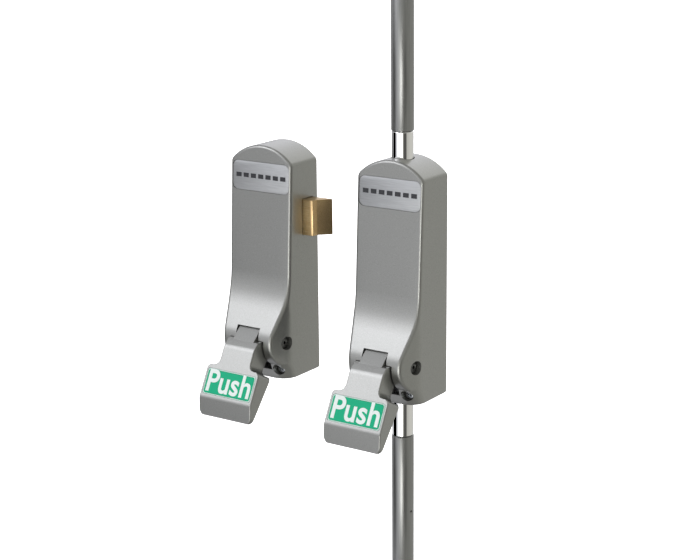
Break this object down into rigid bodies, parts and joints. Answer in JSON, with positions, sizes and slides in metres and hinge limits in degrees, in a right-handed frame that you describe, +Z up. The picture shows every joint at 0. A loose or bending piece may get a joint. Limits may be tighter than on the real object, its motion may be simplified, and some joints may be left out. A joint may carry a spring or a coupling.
{
  "type": "emergency exit push pad set",
  "caption": "Push-pad exit hardware for a pair of doors: one unit with a sideways latch bolt, one driving a rod up and a rod down",
  "frame": {"origin": "centre of the back of the rod unit's backplate, 85 mm above the bottom of the covers, on the door's face", "axes": "+X to the right seen from the front, +Y into the door, +Z up along the rods"},
  "size_m": [0.1653, 0.0819, 0.504],
  "materials": {
    "silver_paint": "satin silver paint on a zinc die-casting",
    "zinc_plate": "zinc-plated steel",
    "steel": "machined steel",
    "spring_steel": "spring steel wire and strip",
    "chrome": "polished chrome plate",
    "brass": "brushed, brown-toned brass",
    "rod_paint": "satin grey paint on steel tube",
    "label_green": "green printed plate",
    "badge_metal": "fine-brushed plate",
    "bearing_plastic": "acetal"
  },
  "bodies": {
    "body": {"rod_cover": "silver_paint", "rod_backplate": "zinc_plate", "rod_cover_screw_left": "zinc_plate", "rod_cover_screw_right": "zinc_plate", "rod_spring_keeper": "zinc_plate", "rod_spring_keeper_screw_left": "zinc_plate", "rod_spring_keeper_screw_right": "zinc_plate", "rod_badge": "badge_metal", "rod_hinge_pin": "steel", "rod_hinge_nut": "steel", "latch_cover": "silver_paint", "latch_backplate": "zinc_plate", "latch_cover_screw_left": "zinc_plate", "latch_cover_screw_right": "zinc_plate", "latch_spring_keeper": "zinc_plate", "latch_spring_keeper_screw_left": "zinc_plate", "latch_spring_keeper_screw_right": "zinc_plate", "latch_badge": "badge_metal", "latch_hinge_pin": "steel", "latch_hinge_nut": "steel", "rod_upper_keeper": "zinc_plate", "rod_upper_keeper_screw_left": "zinc_plate", "rod_upper_keeper_screw_right": "zinc_plate", "bolt_guide": "zinc_plate", "bolt_guide_screw_lower": "zinc_plate", "bolt_guide_screw_upper": "zinc_plate", "lever_stud": "steel", "crank_stud": "steel", "lever_clip": "spring_steel", "crank_clip": "spring_steel", "rod_return_spring": "spring_steel", "slide_return_spring": "spring_steel", "bolt_spring": "spring_steel", "upper_rod_guide": "silver_paint", "lower_rod_guide": "silver_paint"},
    "rod_pad": {"rod_push_pad": "silver_paint", "rod_push_label": "label_green", "rod_pad_bush_left": "bearing_plastic", "rod_pad_bush_right": "bearing_plastic"},
    "latch_pad": {"latch_push_pad": "silver_paint", "latch_push_label": "label_green", "latch_pad_bush_left": "bearing_plastic", "latch_pad_bush_right": "bearing_plastic"},
    "lower_rod_drive": {"lower_carriage": "zinc_plate", "lower_spigot": "chrome", "lower_rod_pin": "spring_steel", "lower_rod": "rod_paint", "lower_bolt_tip": "steel"},
    "upper_rod_drive": {"upper_carriage": "zinc_plate", "upper_spigot": "chrome", "upper_rod_pin": "spring_steel", "upper_rod": "rod_paint", "upper_bolt_tip": "steel"},
    "lever": {"reversing_lever": "zinc_plate"},
    "lift": {"lift_slide": "zinc_plate"},
    "crank": {"bell_crank": "zinc_plate"},
    "bolt": {"latch_bolt": "brass"}
  },
  "joints": [
    {"name": "rod_pad_hinge", "type": "hinge", "parent": "body", "child": "rod_pad", "pos_m": [0, -0.039, -0.0565], "axis": [1, 0, 0], "range_deg": [0, 22], "stiffness_Nm_per_rad": 1, "springref_deg": -28.65},
    {"name": "lower_rod_slide", "type": "slide", "parent": "body", "child": "lower_rod_drive", "axis": [0, 0, 1], "range_m": [0, 0.0089], "deforming": ["rod_return_spring"]},
    {"name": "upper_rod_slide", "type": "slide", "parent": "body", "child": "upper_rod_drive", "axis": [0, 0, -1], "range_m": [0, 0.0089]},
    {"name": "reversing_lever_turn", "type": "hinge", "parent": "body", "child": "lever", "pos_m": [0, -0.0145, 0.011], "axis": [0, -1, 0], "range_deg": [0, 40.68]},
    {"name": "latch_pad_hinge", "type": "hinge", "parent": "body", "child": "latch_pad", "pos_m": [-0.111, -0.039, -0.0565], "axis": [1, 0, 0], "range_deg": [0, 22], "stiffness_Nm_per_rad": 1, "springref_deg": -28.65},
    {"name": "lift_slide_travel", "type": "slide", "parent": "body", "child": "lift", "axis": [0, 0, 1], "range_m": [0, 0.0089], "deforming": ["slide_return_spring"]},
    {"name": "bell_crank_turn", "type": "hinge", "parent": "body", "child": "crank", "pos_m": [-0.121, -0.0145, 0.0119], "axis": [0, -1, 0], "range_deg": [0, 45.51]},
    {"name": "latch_bolt_slide", "type": "slide", "parent": "body", "child": "bolt", "axis": [-1, 0, 0], "range_m": [0, 0.01771], "deforming": ["bolt_spring"]}
  ],
  "couplings": [
    {"joint": "lower_rod_slide", "follows": "rod_pad_hinge", "m_per_rad": 0.023122},
    {"joint": "upper_rod_slide", "follows": "rod_pad_hinge", "m_per_rad": 0.023122},
    {"joint": "reversing_lever_turn", "follows": "rod_pad_hinge", "ratio": 1.8447},
    {"joint": "lift_slide_travel", "follows": "latch_pad_hinge", "m_per_rad": 0.023122},
    {"joint": "bell_crank_turn", "follows": "latch_pad_hinge", "ratio": 2.0642},
    {"joint": "latch_bolt_slide", "follows": "latch_pad_hinge", "m_per_rad": 0.046043}
  ]
}
